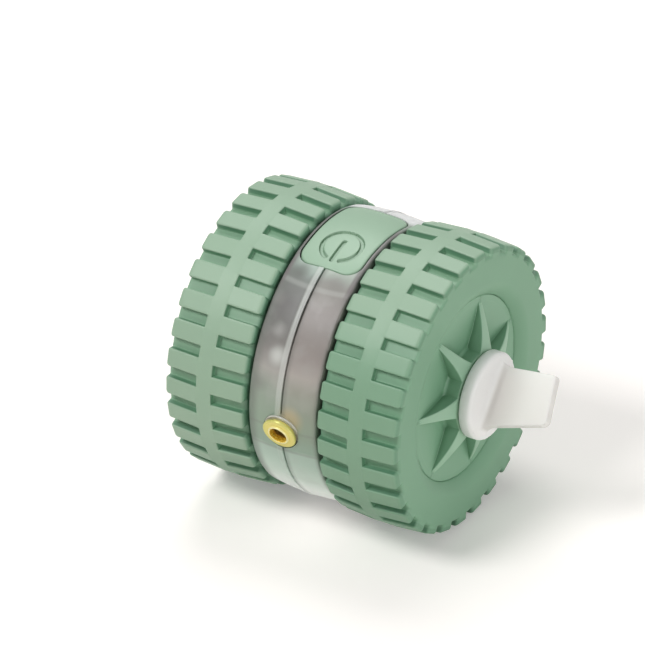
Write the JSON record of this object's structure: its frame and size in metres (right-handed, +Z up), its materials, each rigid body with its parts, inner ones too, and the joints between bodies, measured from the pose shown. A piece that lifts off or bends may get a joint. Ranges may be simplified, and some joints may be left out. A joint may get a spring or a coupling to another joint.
{
  "type": "automatic cat laser toy",
  "caption": "Rolling cat toy with treaded wheels either side of a rounded body, a front laser, a top power button and a pull-out tail plug.",
  "frame": {"origin": "on the floor, under the wheels' axis, midway between the tyres", "axes": "+X along the wheels' axis to the wheel that holds the tail plug, -Y the way the laser looks, +Z up"},
  "size_m": [0.0937, 0.079, 0.078],
  "materials": {
    "tyre_rubber": "matt silicone rubber",
    "hub_plastic": "fine satin moulding",
    "plug_rubber": "matt silicone rubber",
    "shell_plastic": "frosted, translucent",
    "button_plastic": "fine satin moulding",
    "bezel_brass": "bright turned",
    "collar_plastic": "polished",
    "frame_plastic": "plain moulding",
    "gear_plastic": "natural acetal",
    "board_laminate": "solder mask",
    "chip_black": "moulded",
    "switch_body": "moulded",
    "led_resin": "clear resin",
    "plain_steel": "machined",
    "plated_steel": "nickel plated",
    "turned_brass": "machined",
    "lens_glass": "polished",
    "battery_foil": "crimped foil"
  },
  "bodies": {
    "core": {"ballast_weight": "plain_steel", "battery": "battery_foil", "board_screws": "plain_steel", "case_screws": "plain_steel", "circuit_board": "board_laminate", "controller_chip": "chip_black", "idler_pin_left": "plain_steel", "idler_pin_right": "plain_steel", "inner_bush_left": "turned_brass", "inner_bush_right": "turned_brass", "inner_frame": "frame_plastic", "laser_barrel": "turned_brass", "laser_bezel": "bezel_brass", "laser_collar": "collar_plastic", "laser_diode": "turned_brass", "laser_lens": "lens_glass", "motor_driver_chip": "chip_black", "motor_left": "plated_steel", "motor_right": "plated_steel", "outer_bush_left": "turned_brass", "outer_bush_right": "turned_brass", "shell_left": "shell_plastic", "shell_right": "shell_plastic", "status_led": "led_resin", "tact_switch": "switch_body", "usb_socket": "plated_steel"},
    "wheel_right": {"tyre_right": "tyre_rubber", "hub_right": "hub_plastic", "axle_right": "plain_steel", "hub_screw_right": "plain_steel", "drive_gear_right": "gear_plastic"},
    "wheel_left": {"tyre_left": "tyre_rubber", "hub_left": "hub_plastic", "axle_left": "plain_steel", "hub_screw_left": "plain_steel", "drive_gear_left": "gear_plastic"},
    "idler_right": {"idler_gear_right": "gear_plastic"},
    "idler_left": {"idler_gear_left": "gear_plastic"},
    "pinion_right": {"motor_pinion_right": "turned_brass", "motor_shaft_right": "plain_steel"},
    "pinion_left": {"motor_pinion_left": "turned_brass", "motor_shaft_left": "plain_steel"},
    "button": {"power_button": "button_plastic", "switch_plunger": "chip_black"},
    "tail": {"tail_plug": "plug_rubber"}
  },
  "joints": [
    {"name": "wheel_right_spin", "type": "hinge", "parent": "core", "child": "wheel_right", "pos_m": [0.022, 0, 0.039], "axis": [1, 0, 0], "continuous": true},
    {"name": "idler_right_spin", "type": "hinge", "parent": "core", "child": "idler_right", "pos_m": [0.0108, 0.01309, 0.0396], "axis": [1, 0, 0], "continuous": true},
    {"name": "pinion_right_spin", "type": "hinge", "parent": "core", "child": "pinion_right", "pos_m": [0.0105, 0.013, 0.03], "axis": [1, 0, 0], "continuous": true},
    {"name": "wheel_left_spin", "type": "hinge", "parent": "core", "child": "wheel_left", "pos_m": [-0.022, 0, 0.039], "axis": [1, 0, 0], "continuous": true},
    {"name": "idler_left_spin", "type": "hinge", "parent": "core", "child": "idler_left", "pos_m": [-0.0108, -0.01309, 0.0396], "axis": [1, 0, 0], "continuous": true},
    {"name": "pinion_left_spin", "type": "hinge", "parent": "core", "child": "pinion_left", "pos_m": [-0.0105, -0.013, 0.03], "axis": [1, 0, 0], "continuous": true},
    {"name": "power_button_press", "type": "slide", "parent": "core", "child": "button", "axis": [0, 0, -1], "range_m": [0, 0.0006], "stiffness_N_per_m": 3000},
    {"name": "tail_plug_pull", "type": "slide", "parent": "wheel_right", "child": "tail", "axis": [1, 0, 0], "range_m": [0, 0.012]}
  ],
  "couplings": [
    {"joint": "idler_right_spin", "follows": "wheel_right_spin", "ratio": -3.3333},
    {"joint": "pinion_right_spin", "follows": "wheel_right_spin", "ratio": 9.3333},
    {"joint": "idler_left_spin", "follows": "wheel_left_spin", "ratio": -3.3333},
    {"joint": "pinion_left_spin", "follows": "wheel_left_spin", "ratio": 9.3333}
  ]
}
